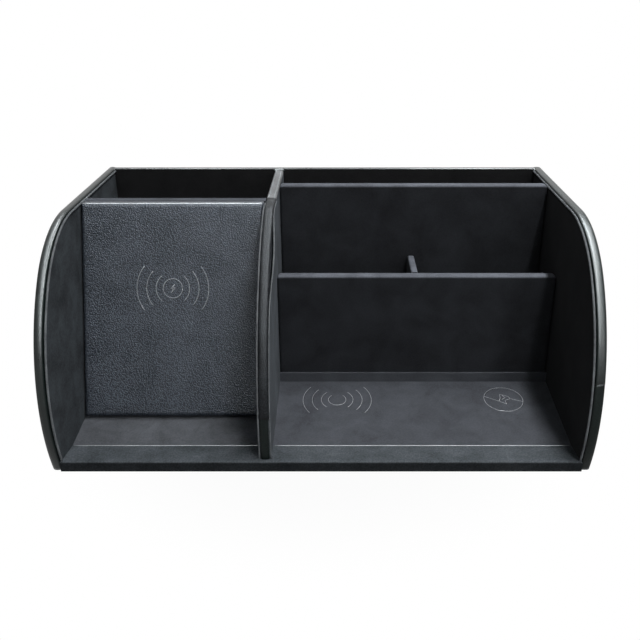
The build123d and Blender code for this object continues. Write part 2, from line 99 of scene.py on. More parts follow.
# %% [markdown]
# ## Colours as a maker reads them
# A colour chart gives red, green and blue from 0 to 255, but the renderer adds light in linear
# numbers. One short function turns the first into the second by the curve that screens use. The
# finishes take chart colours, so each can be compared with a swatch.

# %% Chart colours to linear light
def swatch(red, green, blue):
    def linear(value):
        share = value / 255
        return share / 12.92 if share <= 0.04045 else ((share + 0.055) / 1.055) ** 2.4
    return (linear(red), linear(green), linear(blue), 1.0)


print("a mid grey of 128 is", round(swatch(128, 128, 128)[0], 3), "in linear light")


# %% [markdown]
# ## Short words for node trees
# Every finish is a small node tree, and helpers keep the trees readable: one adds a node, one
# fills its inputs, one joins two sockets. Three more do the steps that come back in every finish:
# a noise of a given width, a change of range, and a relief of a given height. Textures read the
# object's own coordinates in metres, so a grain of one millimetre is one millimetre on every
# piece, and no unwrapping is needed.

# %% Node helpers
def fill(node, **inputs):
    for name, value in inputs.items():
        node.inputs[name.replace("_", " ")].default_value = value


def add_node(tree, kind, operation=None, **inputs):
    made = tree.nodes.new("ShaderNode" + kind)
    if operation:
        made.operation = operation
    fill(made, **inputs)
    return made


def join(tree, source, output, target, socket):
    tree.links.new(source.outputs[output], target.inputs[socket])


def new_finish(name):
    finish = bpy.data.materials.new(name)
    finish.use_nodes = True
    tree = finish.node_tree
    return finish, tree, tree.nodes["Principled BSDF"]


print("node helpers are ready")


# %% Noise, range and relief
def place_in_metres(tree):
    return add_node(tree, "TexCoord")


def noise(tree, width, **inputs):
    """A cloudy texture with blobs of about this width, fixed to the object."""
    made = add_node(tree, "TexNoise", Scale=1 / width, **inputs)
    join(tree, place_in_metres(tree), "Object", made, "Vector")
    return made


def remap(tree, source, output, low, high, start, end, soft=True):
    """Turns values from low to high into values from start to end."""
    made = add_node(tree, "MapRange", From_Min=low, From_Max=high, To_Min=start, To_Max=end)
    if soft:
        made.interpolation_type = "SMOOTHSTEP"
    join(tree, source, output, made, "Value")
    return made


def emboss(tree, source, output, height, target):
    """Raises a texture by this height, as a bump in the target's normal."""
    made = add_node(tree, "Bump", Strength=1.0, Distance=height)
    join(tree, source, output, made, "Height")
    join(tree, made, "Normal", target, "Normal")
    return made


print("noise, range and relief are ready")


# %% [markdown]
# ## Clouds, specks and gloss
# The colour of leather and suede is never even. Wide soft clouds come from the dye and from hands,
# and finer specks lie in them: two noises, mixed into a ramp of two colours. The gloss follows the
# same texture between two values of roughness.

# %% Clouded colour and varied gloss
def two_tones(tree, shader, source, output, dark, light, start=0.0, end=1.0):
    """Colours a texture from dark to light, both as chart colours."""
    ramp = add_node(tree, "ValToRGB")
    for stop, position, colour in zip(ramp.color_ramp.elements, (start, end), (dark, light)):
        stop.position, stop.color = position, swatch(*colour)
    join(tree, source, output, ramp, "Fac")
    join(tree, ramp, "Color", shader, "Base Color")


def clouded_colour(tree, shader, dark, light, cloud, speck):
    """Colour between dark and light in soft clouds, with finer specks in them."""
    wide = noise(tree, cloud, Detail=4.0, Roughness=0.55, Distortion=0.4)
    fine = noise(tree, speck, Detail=3.0, Roughness=0.6)
    blend = add_node(tree, "Mix", Factor=0.35)
    join(tree, wide, "Fac", blend, "A")
    join(tree, fine, "Fac", blend, "B")
    two_tones(tree, shader, blend, "Result", dark, light, 0.34, 0.66)
    return blend


def varied_gloss(tree, shader, source, output, glossy, dull):
    """Roughness between two values, led by a texture."""
    spread = remap(tree, source, output, 0.3, 0.7, glossy, dull, soft=False)
    join(tree, spread, "Result", shader, "Roughness")


print("clouds and gloss are ready")


# %% [markdown]
# ## Lit crests and matt flanks
# Where a piece faces up, one layer multiplies the colour: painted light from the lamp overhead,
# partly also rubbed wear. Hands rub the crown of a padded band shiny and leave its flanks matt, so
# another layer lets the gloss fade. Both read how the surface lies on the object, never where the
# viewer stands.

# %% Layers that follow the way a face looks
def scale_colour(tree, shader, amount):
    """Multiplies the colour that already feeds the shader."""
    colour = shader.inputs["Base Color"].links[0].from_socket
    scaled = add_node(tree, "VectorMath", "SCALE")
    tree.links.new(colour, scaled.inputs[0])
    join(tree, amount, "Result", scaled, "Scale")
    join(tree, scaled, "Vector", shader, "Base Color")


def facing(tree):
    parts = add_node(tree, "SeparateXYZ")
    join(tree, place_in_metres(tree), "Normal", parts, "Vector")
    return parts


def rubbed_and_lit_crest(tree, shader, gain):
    """Makes the colour paler where the piece faces up: painted light from above, partly rubbed wear.
    """
    scale_colour(tree, shader, remap(tree, facing(tree), "Z", 0.25, 0.85, 1.0, gain))


def matt_flanks(tree, shader, shine, matt):
    """Lets the gloss fade from shine to matt where a band faces sideways."""
    sideways = add_node(tree, "Math", "ABSOLUTE")
    join(tree, facing(tree), "X", sideways, 0)
    fade = remap(tree, sideways, "Value", 0.25, 0.75, shine, matt)
    join(tree, fade, "Result", shader, "Specular IOR Level")


print("crests and flanks are ready")


# %% [markdown]
# ## Artificial leather
# The sheet is embossed with rounded pebbles, close together and uneven. A Voronoi texture gives
# one dome per pebble, and a noise bends its grid so that no pattern shows. Dirt and shadow sit in
# the pits between the domes, so the colour is darker there. A second, longer noise adds the slack
# of a sheet pulled round a board.

# %% The leather recipe
leather_cloud, leather_speck = 22 * mm, 1.4 * mm
slack_width, bends_per_pebble = 14 * mm, 0.35


def leather(name, dark, light, relief, glossy, dull, shine, pebble=0.9 * mm, slack=0.0,
            pits=0.2, crest_and_top_light=1.0, matt=None):
    finish, tree, shader = new_finish(name)
    clouds = clouded_colour(tree, shader, dark, light, leather_cloud, leather_speck)
    fill(shader, Specular_IOR_Level=shine)
    bent = add_node(tree, "VectorMath", "MULTIPLY_ADD")
    bent.inputs[1].default_value = (pebble, pebble, pebble)
    join(tree, noise(tree, pebble / bends_per_pebble, Detail=2.0), "Color", bent, 0)
    join(tree, place_in_metres(tree), "Object", bent, 2)
    cells = add_node(tree, "TexVoronoi", Scale=1 / pebble)
    cells.feature = "SMOOTH_F1"
    fill(cells, Smoothness=0.5)
    join(tree, bent, "Vector", cells, "Vector")
    dome = remap(tree, cells, "Distance", 0.15, 0.75, 1.0, 0.0)
    shade = remap(tree, dome, "Result", 0.0, 1.0, 1 - pits, 1 + pits / 2, soft=False)
    scale_colour(tree, shader, shade)
    # Paler where the piece faces up: painted light from above, partly rubbed wear.
    if crest_and_top_light > 1:
        rubbed_and_lit_crest(tree, shader, crest_and_top_light)
    if matt is not None:
        matt_flanks(tree, shader, shine, matt)
    grain = emboss(tree, dome, "Result", relief, shader)
    emboss(tree, noise(tree, slack_width, Detail=1.0), "Fac", slack, grain)
    varied_gloss(tree, shader, clouds, "Result", glossy, dull)
    print("leather:", name, "pebble", round(pebble / mm, 2), "mm")
    return finish


# %% [markdown]
# ## One leather for each use
# All the leather comes from one roll, but use and stretch change it. Pulled over an edge its grain
# is nearly flat and its gloss high, on the pad the pebbles stand deep, and the lip is dull. Where
# the leather faces up to the lamp some copies are coloured paler, which is painted light: the top
# strip of the centre divider, the band along the back edge, and the lip where it slopes up to the
# seam.

# %% Leather finishes
band_leather = leather("edge_leather", (6, 13, 13), (20, 30, 29), relief=0.02 * mm, glossy=0.27,
                       dull=0.36, shine=0.27, slack=0.08 * mm, matt=0.05)
# Paler than the band leather because the back band faces up to the lamp: painted light.
lit_back_leather = leather("back_edge_leather_lit", (30, 36, 36), (52, 58, 58), relief=0.02 * mm,
                       glossy=0.24, dull=0.34, shine=0.4, slack=0.15 * mm)
foot_leather = leather("foot_leather", (10, 17, 16), (22, 30, 28), relief=0.04 * mm,
                       glossy=0.34, dull=0.46, shine=0.09, slack=0.15 * mm)
rib_leather = leather("centre_band_leather", (20, 22, 24), (42, 45, 48), relief=0.06 * mm,
                      glossy=0.36, dull=0.48, shine=0.06, slack=0.2 * mm, pits=0.3, matt=0.03)
# Much paler than the front band's leather because the top strip faces up: painted light.
lit_rib_top_leather = leather("centre_top_leather_lit", (76, 77, 79), (110, 112, 114),
                          relief=0.06 * mm, glossy=0.4, dull=0.52, shine=0.18,
                          slack=0.3 * mm, pits=0.3)
# The lip's crest paints light on its up-facing slope.
lip_leather = leather("lip_leather", (29, 32, 34), (48, 51, 54), relief=0.05 * mm, glossy=0.5,
                      dull=0.65, shine=0.02, pebble=1.0 * mm, slack=0.1 * mm, crest_and_top_light=3.5)
outer_leather = leather("outer_leather", (24, 29, 30), (40, 45, 47), relief=0.08 * mm,
                        glossy=0.36, dull=0.5, shine=0.22, pebble=1.2 * mm, slack=0.2 * mm)
pad_leather = leather("pad_leather", (45, 51, 59), (67, 73, 82), relief=0.19 * mm, glossy=0.34,
                      dull=0.46, shine=0.1, pebble=0.82 * mm, slack=0.2 * mm, pits=0.5)


# %% [markdown]
# ## Artificial suede
# Suede is a brushed nap. It is nearly black on the flat and turns a little pale where the eye
# grazes it, which the shader's sheen layer does. Strokes of a hand leave wide clouds. Its relief
# is only a fine noise, because single fibres are far below a millimetre. Over the top of a divider
# it is paler: painted light from above, partly rubbed wear, which the recipe's crest layer paints.

# %% The suede recipe
fibre_width, nap_relief, suede_speck = 0.45 * mm, 0.07 * mm, 1.1 * mm


def suede(name, dark, light, sheen, cloud=26 * mm, crest_and_top_light=1.0):
    finish, tree, shader = new_finish(name)
    clouds = clouded_colour(tree, shader, dark, light, cloud, suede_speck)
    # Paler where the piece faces up: painted light from above, partly rubbed wear.
    if crest_and_top_light > 1:
        rubbed_and_lit_crest(tree, shader, crest_and_top_light)
    fill(shader, Specular_IOR_Level=0.03, Sheen_Weight=sheen, Sheen_Roughness=0.35,
         Sheen_Tint=(0.8, 0.88, 1.0, 1.0))
    varied_gloss(tree, shader, clouds, "Result", 0.8, 0.95)
    fibre = noise(tree, fibre_width, Detail=4.0, Roughness=0.7)
    emboss(tree, fibre, "Fac", nap_relief, shader)
    print("suede:", name, "sheen", sheen)
    return finish


# %% [markdown]
# ## One suede in lit and shaded copies
# The linings are one suede, given in copies of different paleness, which is painted light and
# shade. Faces that look to the right, towards the lamp, get paler copies, and the right wall, the
# back linings and the deep pockets an almost black one. The floors are the palest, because things
# slide over them.

# %% Suede finishes
# The crests of the backrest board and the dividers paint light on their up-facing tops.
rear_suede = suede("rear_board_suede", (27, 28, 31), (44, 46, 50), sheen=0.03, crest_and_top_light=4.6)
# Pale and almost black copies of one suede follow: painted light and painted shade.
wall_suede = suede("wall_suede", (34, 36, 38), (67, 72, 76), sheen=0.03, cloud=20 * mm)
lit_rib_suede = suede("lit_rib_suede", (56, 59, 62), (84, 89, 94), sheen=0.03, cloud=22 * mm)
shaded_suede = suede("shaded_suede", (16, 16, 17), (30, 30, 31), sheen=0.02, cloud=20 * mm)
divider_suede = suede("divider_suede", (27, 28, 31), (44, 46, 50), sheen=0.03, crest_and_top_light=7.0)
deck_suede = suede("deck_suede", (60, 62, 67), (82, 85, 91), sheen=0.05, cloud=20 * mm)
floor_suede = suede("floor_suede", (66, 68, 72), (94, 97, 102), sheen=0.05, cloud=16 * mm)
skirt_suede = suede("skirting_suede", (60, 62, 67), (76, 79, 84), sheen=0.05)


# %% [markdown]
# ## What hides inside
# Boards, plates and the circuit board never show in a finished organizer, but a part that is opened
# or cut still needs its real finish. One recipe does them all: two colours, specks and a relief.

# %% The recipe for hidden and small parts
def plain_matter(name, dark, light, cloud, speck, roughness, relief, metal=0.0, shine=0.5):
    finish, tree, shader = new_finish(name)
    clouded_colour(tree, shader, dark, light, cloud, speck)
    fill(shader, Metallic=metal, Specular_IOR_Level=shine)
    grit = noise(tree, speck, Detail=3.0, Roughness=0.65)
    emboss(tree, grit, "Fac", relief, shader)
    varied_gloss(tree, shader, grit, "Fac", roughness * 0.85, min(roughness * 1.15, 1.0))
    print("finish:", name)
    return finish


raw_board = plain_matter("raw_fibreboard", (150, 122, 88), (182, 152, 112), 9 * mm, 0.6 * mm,
                         0.85, 0.05 * mm)
base_felt = plain_matter("base_felt", (30, 30, 32), (44, 44, 46), 12 * mm, 0.4 * mm, 0.95,
                         0.08 * mm, shine=0.15)
foot_rubber = plain_matter("foot_rubber", (26, 26, 27), (36, 36, 38), 5 * mm, 0.3 * mm, 0.75,
                           0.02 * mm, shine=0.3)
pad_plastic = plain_matter("moulded_plastic", (58, 58, 62), (70, 70, 75), 8 * mm, 0.4 * mm,
                           0.55, 0.01 * mm)
black_plastic = plain_matter("inlet_plastic", (24, 25, 26), (34, 35, 37), 4 * mm, 0.25 * mm,
                             0.45, 0.006 * mm)
ferrite = plain_matter("ferrite", (58, 58, 60), (78, 78, 80), 3 * mm, 0.2 * mm, 0.7, 0.01 * mm)
socket_steel = plain_matter("socket_steel", (150, 151, 154), (186, 187, 190), 2 * mm,
                            0.15 * mm, 0.35, 0.002 * mm, metal=1.0)
circuit = plain_matter("circuit_board", (14, 70, 44), (22, 96, 60), 2.5 * mm, 0.5 * mm, 0.4,
                       0.01 * mm)


# %% [markdown]
# ## Wound copper
# A charging coil is a flat spiral of enamelled wire. Rings of a wave texture, centred on the coil,
# give its turns. Each coil needs its own centre and tilt, so the recipe takes them from the coil
# and from the pad or deck over it.

# %% Copper windings
ring_scale = 0.16 / mm
wire_relief = 0.1 * mm


def winding(node_name, tilt):
    low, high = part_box(node_name)
    finish, tree, shader = new_finish("copper_of_" + node_name)
    centred = add_node(tree, "Mapping")
    centred.vector_type = "TEXTURE"
    fill(centred, Location=(low + high) / 2, Rotation=(tilt, 0, 0))
    join(tree, place_in_metres(tree), "Object", centred, "Vector")
    turns = add_node(tree, "TexWave", Scale=ring_scale)
    turns.wave_type, turns.rings_direction = "RINGS", "Z"
    join(tree, centred, "Vector", turns, "Vector")
    two_tones(tree, shader, turns, "Fac", (112, 58, 30), (204, 128, 78))
    fill(shader, Metallic=1.0, Roughness=0.35)
    emboss(tree, turns, "Fac", wire_relief, shader)
    return finish


mounts = {mount["name"]: mount for mount in frame["record"]["mounts"]}
pad_normal = Vector(mounts["backrest_pad"]["axis"])
deck_normal = Vector(mounts["deck_pad"]["axis"])
pad_tilt = math.atan2(-pad_normal.y, pad_normal.z)
deck_tilt = math.atan2(-deck_normal.y, deck_normal.z)
copper = {"backrest_coil": winding("backrest_coil", pad_tilt),
          "deck_coil": winding("deck_coil", deck_tilt),
          "earbud_coil": winding("earbud_coil", deck_tilt)}
print("coils:", sorted(copper), "pad tilted", round(math.degrees(pad_tilt), 1), "degrees")


# %% [markdown]
# ## Which piece gets which finish
# A list by name says what each visible piece is wrapped in. What the list leaves out is found by
# its kind: coils are copper, ferrite and feet have their own finish, and all the rest is raw board.

# %% Give every node of the frame its finish
finish_of = dict(copper)
for finish, names in (
        (outer_leather, "left_wall_cover right_wall_cover back_cover"),
        (band_leather, "left_edge_band right_upper_band"),
        (foot_leather, "right_lower_band centre_foot_band"), (lit_back_leather, "back_edge_band"),
        (rib_leather, "centre_front_band"), (lit_rib_top_leather, "centre_top_band"),
        (lip_leather, "front_lip_cover"), (pad_leather, "phone_pad_cover"),
        (wall_suede, "left_wall_lining centre_lining_left"), (lit_rib_suede, "centre_lining_right"),
        (shaded_suede, "right_wall_lining back_lining_left back_lining_right"),
        (shaded_suede, "pocket_floor pen_floor"), (rear_suede, "backrest_board"),
        (divider_suede, "low_divider_sleeve tall_divider_sleeve cross_divider_sleeve"),
        (deck_suede, "deck_cover"), (floor_suede, "left_floor"), (skirt_suede, "skirting_strip"),
        (base_felt, "bottom_sheet"), (pad_plastic, "phone_pad_core"),
        (black_plastic, "inlet_tongue inlet_bezel"), (socket_steel, "inlet_socket driver_can"),
        (circuit, "driver_board")):
    finish_of.update(dict.fromkeys(names.split(), finish))
for name, piece in nodes.items():
    if name.endswith("ferrite"):
        finish_of[name] = ferrite
    elif name.startswith("foot_"):
        finish_of[name] = foot_rubber
    piece.data.materials.clear()
    piece.data.materials.append(finish_of.get(name, raw_board))
print("finishes given to", len(nodes), "nodes")


# %% [markdown]
# ## The bow of the walls and of the centre divider
# Each upright is cut to one outline: straight up and back, and two arcs that flow into each other
# at the front. The folded edges follow the same outline, so it is written once here, as points
# from the foot, over the belly and shoulder, to the back.

# %% Points along a bow
def bow_points(front, top, foot, shares, inset, y_end, z_end, step=2.0 * mm):
    """(y, z) points of a bowed edge. shares: belly level and bow run as shares of the height,
    shoulder radius as a share of the run."""
    belly_share, run_share, shoulder_share = shares
    height = top - foot
    belly_level, run = foot + height * belly_share, height * run_share
    shoulder = run * shoulder_share
    climb = top - belly_level
    belly = (run * run + climb * climb - 2 * climb * shoulder) / (2 * (run - shoulder))
    belly_y, shoulder_y, shoulder_z = front + belly, front + run, top - shoulder
    turn = math.atan2(shoulder_z - belly_level, belly_y - shoulder_y)
    belly_r, shoulder_r = belly - inset, shoulder - inset
    start = math.asin((z_end - belly_level) / belly_r)
    points = []
    for y, z, radius, begin, stop in ((belly_y, belly_level, belly_r, start, turn),
                                      (shoulder_y, shoulder_z, shoulder_r, turn, math.pi / 2)):
        count = max(2, round(radius * (stop - begin) / step))
        for i in range(count):
            angle = begin + (stop - begin) * i / count
            points.append((y - radius * math.cos(angle), z + radius * math.sin(angle)))
    points.append((shoulder_y, top - inset))
    count = max(1, round((y_end - shoulder_y) / (4 * step)))
    for i in range(1, count + 1):
        points.append((shoulder_y + (y_end - shoulder_y) * i / count, top - inset))
    return points


band_low, band_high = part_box("left_edge_band")
wall_shares = (0.2727, 0.5872, 0.86)
foot_level = band_low.z


def wall_rim(inset, y_end, z_end):
    return bow_points(band_low.y, band_high.z, foot_level, wall_shares, inset, y_end, z_end)


print("wall outline:", len(wall_rim(0, band_high.y, foot_level)), "points")


# %% [markdown]
# ## Welts and pressed lines
# Two small forms come back all over the object: a round welt, where a sheet is folded over an edge,
# and a flat pressed line, where a heated die has pressed the grain. Both are closed solids, swept
# along a list of points. Their pale finishes are painted highlights, the light such an edge would
# catch, and the dark one is painted shade in the groove of a pressed line.

# %% Sweep a section along a path
def make_piece(name, shape, finish, slot=None):
    """Turns a finished bmesh into a piece. One with a slot rides on the organizer's body."""
    mesh = bpy.data.meshes.new(name)
    shape.to_mesh(mesh)
    shape.free()
    mesh.materials.append(finish)
    piece = bpy.data.objects.new(name, mesh)
    scene.collection.objects.link(piece)
    if slot:
        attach(piece, "root")
    return piece


def sweep(name, path, section, finish, up, slot):
    """A closed tube: section is a ring of (across, up) offsets, up is the surface's normal."""
    shape = bmesh.new()
    rings = []
    last, size = len(path) - 1, len(section)
    for i, point in enumerate(path):
        along = (path[min(i + 1, last)] - path[max(i - 1, 0)]).normalized()
        across = along.cross(up).normalized()
        lift = across.cross(along).normalized()
        rings.append([shape.verts.new(point + across * a + lift * b) for a, b in section])
    for first, second in zip(rings, rings[1:]):
        for k in range(size):
            after = (k + 1) % size
            shape.faces.new((first[k], first[after], second[after], second[k]))
    shape.faces.new(rings[0][::-1])
    shape.faces.new(rings[-1])
    bmesh.ops.recalc_face_normals(shape, faces=shape.faces)
    for face in shape.faces:
        face.smooth = len(face.verts) == 4
    return make_piece(name, shape, finish, slot)


def straight(start, end, steps):
    """Points on a straight line, so that a swept piece gets short, even faces."""
    return [Vector(start).lerp(Vector(end), i / steps) for i in range(steps + 1)]


print("sweeps are ready")


# %% Sections and finishes of welts and lines
crown_share = 0.55


def round_section(radius, sides=8):
    turns = [2 * math.pi * k / sides for k in range(sides)]
    return [(radius * math.cos(t), radius * math.sin(t)) for t in turns]


def line_section(width, height, depth):
    """A flat bead: a low crown above the surface and a flat foot under it."""
    half = width / 2
    return [(-half, -depth), (half, -depth), (half, 0), (half * crown_share, height),
            (-half * crown_share, height), (-half, 0)]


# Pale folded edges and pressed lines are painted highlights; the dark pressed groove is painted
# shade.
fold_highlight = leather("folded_edge_highlight", (92, 97, 99), (128, 133, 136), relief=0.03 * mm, glossy=0.4,
                    dull=0.55, shine=0.4, pebble=0.8 * mm)
line_highlight = leather("pressed_line_highlight", (122, 126, 131), (156, 160, 165), relief=0.01 * mm,
                     glossy=0.35, dull=0.5, shine=0.4, pebble=0.7 * mm)
line_shade = leather("pressed_groove_shade", (26, 29, 32), (42, 45, 49), relief=0.01 * mm,
                       glossy=0.5, dull=0.6, shine=0.1, pebble=0.7 * mm)


# %% [markdown]
# ## Folded edges of the wall linings
# Inside each wall the suede ends in a rolled hem, two millimetres behind the face of the leather
# band. The roll stands a little proud of the lining along the whole bow: a round cord of suede,
# swept along it, coloured much paler than the lining as a painted highlight. A black cord beside
# it, sunk behind the lining's face, is painted shade: it darkens the groove between hem and band.

# %% Rolled hems
# The pale hem suede paints the highlight on the roll, the almost black groove suede paints the shade
# in the groove.
hem_highlight_suede = suede("hem_highlight_suede", (84, 87, 90), (124, 128, 131), sheen=0.1, cloud=9 * mm)
groove_shade_suede = suede("groove_shade_suede", (5, 5, 6), (13, 13, 14), sheen=0.0)
lining_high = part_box("left_wall_lining")[1]
lip_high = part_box("front_lip_cover")[1]
lining_inset = band_high.z - lining_high.z
hem_foot = lip_high.z + 0.5 * mm
hem_end, groove_end = lining_high.y - mm, lining_high.y - 2 * mm
hem_radius, groove_radius = 0.68 * mm, 0.7 * mm
hem_stand, groove_sink = 0.4 * mm, 0.4 * mm
hem_lift, groove_drop = 0.4 * mm, 0.3 * mm


def wall_cord(name, side, inset, end, stand, section, finish):
    """A cord along the bow of a wall, standing proud of the face of its lining."""
    low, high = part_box(side + "_wall_lining")
    face, outward = (high.x, -1) if side == "left" else (low.x, 1)
    path = [Vector((face - outward * stand, y, z)) for y, z in wall_rim(inset, end, hem_foot)]
    sweep(name, path, section, finish, Vector((outward, 0, 0)), "suede_lining")
    print(name, "has", len(path), "rings")


for side in ("left", "right"):
    wall_cord(side + "_lining_hem", side, lining_inset - hem_lift, hem_end, hem_stand,
              round_section(hem_radius, 12), hem_highlight_suede)
    wall_cord(side + "_groove", side, lining_inset + groove_drop, groove_end, -groove_sink,
              round_section(groove_radius), groove_shade_suede)


# %% [markdown]
# ## Padded bands
# The band over an edge is leather on a thin strip of foam: a low pillow that rolls down at both
# sides, and that shape draws the long highlight along the bow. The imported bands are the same
# strips with plainly rounded corners, so each is replaced by a swept pillow, which also covers
# 0.6 mm of the groove inside. The right wall's band is fuller and in two lengths.

# %% A pillow in place of a packed band
def pillow_section(half_width, thickness, fullness=2.4, steps=8):
    """A half round box: a full face that rolls down at both sides onto a flat back."""
    ring = []
    for k in range(2 * steps + 1):
        share = math.sin(math.pi / 2 * (k / steps - 1))
        roll = 1 - (1 - abs(share) ** fullness) ** (1 / fullness)
        ring.append((-thickness * roll, half_width * share))
    return ring


to_the_left = Vector((-1, 0, 0))


def padded_band(node_name, left, right, rim, thickness, **shape):
    path = [Vector(((left + right) / 2, y, z)) for y, z in rim]
    section = pillow_section((right - left) / 2, thickness, **shape)
    band = sweep(node_name + "_pillow", path, section, finish_of[node_name], to_the_left,
                 "leather_black")
    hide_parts(node_name)
    print(node_name + "_pillow is", round((right - left) / mm, 2), "mm wide")


# %% Wall bands
band_thickness, inner_cover, right_fullness = 2.2 * mm, 0.6 * mm, 3.4
low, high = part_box("left_edge_band")
padded_band("left_edge_band", low.x, high.x + inner_cover,
            wall_rim(0, band_high.y, low.z), band_thickness)
for name in ("right_upper_band", "right_lower_band"):
    low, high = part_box(name)
    rim = wall_rim(low.y - band_low.y if name == "right_lower_band" else 0, band_high.y, low.z)
    if name == "right_lower_band":
        below = [point for point in rim if point[1] < high.z]
        (y1, z1), (y2, z2) = below[-1], rim[len(below)]
        rim = below + [(y1 + (y2 - y1) * (high.z - z1) / (z2 - z1), high.z)]
    padded_band(name, low.x - inner_cover, high.x, rim, band_thickness, fullness=right_fullness)


# %% [markdown]
# ## The joint in the right band
# Where the two lengths of the right band meet, the upper one ends in a folded edge: a thin bead
# across the pillow, coloured pale as a painted highlight. Its path is the pillow's own section,
# drawn in to stay on the leather.

# %% Joint bead
fold_radius, bead_reach = 0.28 * mm, 0.96
to_the_top = Vector((0, 0, 1))
low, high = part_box("right_lower_band")
rim = wall_rim(0, band_high.y, low.z)
joint_y = min(rim, key=lambda point: abs(point[1] - high.z))[0]
middle, half_width = (low.x - inner_cover + high.x) / 2, (high.x - low.x + inner_cover) / 2
path = [Vector((middle - b * bead_reach, joint_y - a, high.z))
        for a, b in pillow_section(half_width, band_thickness, steps=6)[1:-1]]
sweep("right_band_joint", path, round_section(fold_radius), fold_highlight, to_the_top,
      "leather_black")
print("band joint at", round(high.z / mm, 1), "mm")


# %% [markdown]
# ## Turned leather on the back ends of the walls
# The board of a wall would show its raw end at the back, so the leather is turned round the corner
# and glued down over the back sheet: one narrow strip from the band to the foot, pressed flat.

# %% Back turns
turn_thickness, turn_lap, turn_sink, turn_rise = 0.6 * mm, 0.6 * mm, 0.05 * mm, 0.3 * mm
turn_fullness = 5.0
for side in ("left", "right"):
    low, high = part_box(side + "_wall_board")
    cover_low, cover_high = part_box(side + "_wall_cover")
    outer, inner = cover_high.x, low.x - turn_lap
    if side == "left":
        outer, inner = cover_low.x, high.x + turn_lap
    middle, back = (outer + inner) / 2, high.y + turn_thickness - turn_sink
    path = straight((middle, back, high.z + turn_rise), (middle, back, low.z), 1)
    section = pillow_section(abs(outer - inner) / 2, turn_thickness, turn_fullness, steps=6)
    sweep(side + "_wall_back_turn", path, section, outer_leather, to_the_left,
          "leather_charcoal")
print("back turns:", round(abs(outer - inner) / mm, 2), "mm wide")


# %% [markdown]
# ## The centre divider's front band
# The front strip of the centre divider is the same kind of pillow, a little thinner, over a bow of
# its own. It stops just short of the divider's left face and laps over its right one.

# %% Centre band
rib_shares = (0.1394, 0.6315, 0.22)
foot_setback, rib_thickness = 0.2 * mm, 1.6 * mm
left_stop, right_lap = 0.3 * mm, 0.1 * mm
rib_low, rib_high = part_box("centre_top_band")
rib_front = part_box("centre_foot_band")[0].y - foot_setback


def rib_rim(inset, y_end, z_end):
    return bow_points(rib_front, rib_high.z, foot_level, rib_shares, inset, y_end, z_end)


low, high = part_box("centre_front_band")
padded_band("centre_front_band", rib_low.x + left_stop, rib_high.x + right_lap,
            rib_rim(0, high.y, low.z), rib_thickness)


# %% [markdown]
# ## Where the lining has come loose
# The suede of each side of the centre divider ends just behind its band. On the right the glue has
# let go near the shoulder: there the lining stands off by up to two millimetres and leaves a dark
# slit. How far it stands off along the bow is one swell, nothing at both ends, and both the loose
# sheet and its hem follow it.

# %% How far the edge stands off
rib_inset, rib_end = 1.9 * mm, rib_high.y - 2 * mm
loose_from, loose_to, loose_gap, loose_swell = 100 * mm, -10 * mm, 1.9 * mm, 1.3
rim = [(y, z) for y, z in rib_rim(rib_inset, rib_end, lip_high.z - mm) if y < rib_low.y]
first = next(i for i, (y, z) in enumerate(rim) if z > loose_from)
last = next(i for i, (y, z) in enumerate(rim) if y > loose_to)
travel = [0.0]
for (y1, z1), (y2, z2) in zip(rim[first:last + 1], rim[first + 1:last + 1]):
    travel.append(travel[-1] + math.hypot(y2 - y1, z2 - z1))
stand_off = [0.0] * len(rim)
for i, run in enumerate(travel):
    swell = max(0.0, math.sin(math.pi * run / travel[-1]))
    stand_off[first + i] = loose_gap * swell ** loose_swell
print("loose edge:", round(travel[-1] / mm, 1), "mm long")


# %% [markdown]
# ## The loose sheet
# A sweep can't curl a sheet away from its board, so this one is a grid of points. One row starts
# at each point of the bow and runs inward, back to the board along a parabola. A second grid
# behind it and a strip round the border close it. Its far edges are sunk a little into the
# lining, so that no step shows.

# %% A closed sheet between two grids
def shell(name, front, back, finish, slot):
    """A closed sheet between two grids of points. Its border stays flat-shaded and crisp."""
    shape = bmesh.new()
    grids = [[[shape.verts.new(point) for point in row] for row in grid] for grid in (front, back)]
    rows, columns = len(front), len(front[0])
    for grid in grids:
        for i in range(rows - 1):
            for j in range(columns - 1):
                shape.faces.new((grid[i][j], grid[i][j + 1], grid[i + 1][j + 1], grid[i + 1][j]))
    border = [(i, 0) for i in range(rows)] + [(rows - 1, j) for j in range(1, columns)]
    border += [(i, columns - 1) for i in range(rows - 2, -1, -1)]
    border += [(0, j) for j in range(columns - 2, 0, -1)]
    for (i, j), (k, m) in zip(border, border[1:] + border[:1]):
        shape.faces.new((grids[0][i][j], grids[0][k][m], grids[1][k][m], grids[1][i][j]))
    bmesh.ops.recalc_face_normals(shape, faces=shape.faces)
    for face in list(shape.faces)[:-len(border)]:
        face.smooth = True
    return make_piece(name, shape, finish, slot)


flap_depth, flap_thickness, flap_steps, flap_sink = 26 * mm, 0.4 * mm, 10, 0.12 * mm
face_x = rib_high.x - flap_sink
front_grid, back_grid = [], []
for i in range(first, last + 1):
    (y1, z1), (y2, z2) = rim[i - 1], rim[i + 1]
    size = math.hypot(y2 - y1, z2 - z1)
    inward_y, inward_z = (z2 - z1) / size, -(y2 - y1) / size
    row = []
    for j in range(flap_steps + 1):
        share = j / flap_steps
        row.append(Vector((face_x + (stand_off[i] + flap_sink) * (1 - share) ** 2,
                           rim[i][0] + inward_y * flap_depth * share,
                           rim[i][1] + inward_z * flap_depth * share)))
    front_grid.append(row)
    back_grid.append([point - Vector((flap_thickness, 0, 0)) for point in row])
shell("centre_loose_lining", front_grid, back_grid, lit_rib_suede, "suede_lining")
print("loose sheet:", len(front_grid), "rows of", flap_steps + 1, "points")


